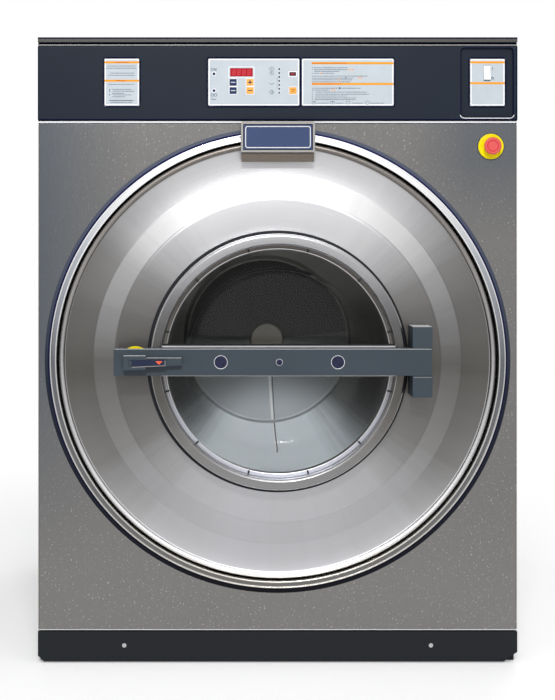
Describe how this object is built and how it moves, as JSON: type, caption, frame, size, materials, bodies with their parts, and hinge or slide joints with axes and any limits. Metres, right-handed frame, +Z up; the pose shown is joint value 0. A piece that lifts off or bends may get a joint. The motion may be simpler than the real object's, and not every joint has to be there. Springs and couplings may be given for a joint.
{
  "type": "commercial washing machine",
  "caption": "Free-standing front-loading commercial washing machine with a bar-hung round glass door, keypad fascia and belt-driven drum.",
  "frame": {"origin": "on the floor, under the middle of the machine's outer box", "axes": "+Z up, +Y to the rear panel, +X to the right as seen from the front; the door faces -Y"},
  "size_m": [1.05, 1.2626, 1.37],
  "materials": {
    "stainless": "fine random brushed, warm grey",
    "bright_stainless": "polished, circular grain",
    "fascia_paint": "anthracite fine texture",
    "slate_paint": "slate grey semi gloss",
    "black_paint": "black semi gloss",
    "galvanised": "zinc coated sheet",
    "cast_iron": "painted casting",
    "bearing_steel": "ground steel",
    "black_rubber": "smooth rubber",
    "glass": "clear pressed glass",
    "black_plastic": "moulded plastic",
    "panel_film": "satin printed film",
    "navy_plastic": "satin moulded plastic",
    "orange_plastic": "satin moulded plastic",
    "red_plastic": "gloss moulded plastic",
    "yellow_plastic": "satin moulded plastic",
    "white_plastic": "gloss moulded plastic",
    "red_window": "dark red window"
  },
  "bodies": {
    "machine": {"base_frame": "black_paint", "cabinet_posts": "galvanised", "plinth": "black_paint", "cabinet_screws": "bearing_steel", "front_panel": "stainless", "cutout_seal": "black_rubber", "side_panels": "stainless", "rear_panel": "galvanised", "belt_cover": "galvanised", "top_cover": "stainless", "control_fascia": "fascia_paint", "keypad_panel": "panel_film", "display_window": "red_window", "info_inlays": "panel_film", "switch_plate": "panel_film", "stop_collar": "yellow_plastic", "nameplate_bracket": "bright_stainless", "nameplate": "navy_plastic", "tub_front": "stainless", "tub_clamp_ring": "bright_stainless", "door_seal": "black_rubber", "tub_shell": "stainless", "tub_saddles": "black_paint", "bearing_housing": "cast_iron", "main_bearings": "bearing_steel", "shaft_seal": "black_rubber", "drive_belt": "black_rubber", "motor": "cast_iron", "drain_valve": "black_plastic", "water_valves": "black_plastic", "fill_pipe": "black_plastic", "control_box": "galvanised", "cable_gland": "black_plastic", "hinge_block": "slate_paint", "hinge_pin": "bearing_steel", "latch_keeper": "stainless"},
    "drum": {"drum_shell": "bright_stainless", "drum_front": "bright_stainless", "drum_back": "bright_stainless", "drum_lifters": "bright_stainless", "drum_shaft": "cast_iron", "drum_pulley": "cast_iron"},
    "motor_rotor": {"motor_pulley": "bearing_steel"},
    "door": {"door_ring": "bright_stainless", "door_glass": "glass", "glass_retainer": "bright_stainless", "door_bar": "slate_paint", "bar_plugs": "navy_plastic", "door_crossbar": "bright_stainless"},
    "latch": {"latch_lever": "slate_paint", "latch_shaft": "bearing_steel", "latch_indicator": "yellow_plastic"},
    "stop_stem": {"stop_stem": "bearing_steel"},
    "stop_head": {"stop_head": "red_plastic"},
    "rocker": {"rocker_switch": "white_plastic"},
    "program_button": {"key_program": "navy_plastic"},
    "temperature_button": {"key_temperature": "navy_plastic"},
    "plus_button": {"key_plus": "orange_plastic"},
    "minus_button": {"key_minus": "orange_plastic"},
    "start_button": {"key_start": "orange_plastic"}
  },
  "joints": [
    {"name": "drum_spin", "type": "hinge", "parent": "machine", "child": "drum", "pos_m": [0, 0, 0.663], "axis": [0, 1, 0], "continuous": true},
    {"name": "motor_spin", "type": "hinge", "parent": "machine", "child": "motor_rotor", "pos_m": [0, 0, 0.176], "axis": [0, 1, 0], "continuous": true},
    {"name": "door_swing", "type": "hinge", "parent": "machine", "child": "door", "pos_m": [0.306, -0.591, 0.66575], "axis": [0, 0, 1], "range_deg": [0, 170]},
    {"name": "latch_turn", "type": "hinge", "parent": "door", "child": "latch", "pos_m": [-0.308, -0.591, 0.66575], "axis": [0, 1, 0], "range_deg": [0, 90]},
    {"name": "stop_press", "type": "slide", "parent": "machine", "child": "stop_stem", "axis": [0, 1, 0], "range_m": [0, 0.005], "stiffness_N_per_m": 3000},
    {"name": "stop_twist", "type": "hinge", "parent": "stop_stem", "child": "stop_head", "pos_m": [0.467, -0.5337, 1.131], "axis": [0, -1, 0], "range_deg": [0, 45], "stiffness_Nm_per_rad": 0.3},
    {"name": "rocker_tilt", "type": "hinge", "parent": "machine", "child": "rocker", "pos_m": [0.4595, -0.5167, 1.2925], "axis": [1, 0, 0], "range_deg": [0, 18]},
    {"name": "program_press", "type": "slide", "parent": "machine", "child": "program_button", "axis": [0, 1, 0], "range_m": [0, 0.0006], "stiffness_N_per_m": 1500},
    {"name": "temperature_press", "type": "slide", "parent": "machine", "child": "temperature_button", "axis": [0, 1, 0], "range_m": [0, 0.0006], "stiffness_N_per_m": 1500},
    {"name": "plus_press", "type": "slide", "parent": "machine", "child": "plus_button", "axis": [0, 1, 0], "range_m": [0, 0.0006], "stiffness_N_per_m": 1500},
    {"name": "minus_press", "type": "slide", "parent": "machine", "child": "minus_button", "axis": [0, 1, 0], "range_m": [0, 0.0006], "stiffness_N_per_m": 1500},
    {"name": "start_press", "type": "slide", "parent": "machine", "child": "start_button", "axis": [0, 1, 0], "range_m": [0, 0.0006], "stiffness_N_per_m": 1500}
  ],
  "couplings": [
    {"joint": "motor_spin", "follows": "drum_spin", "ratio": 3.8333}
  ]
}
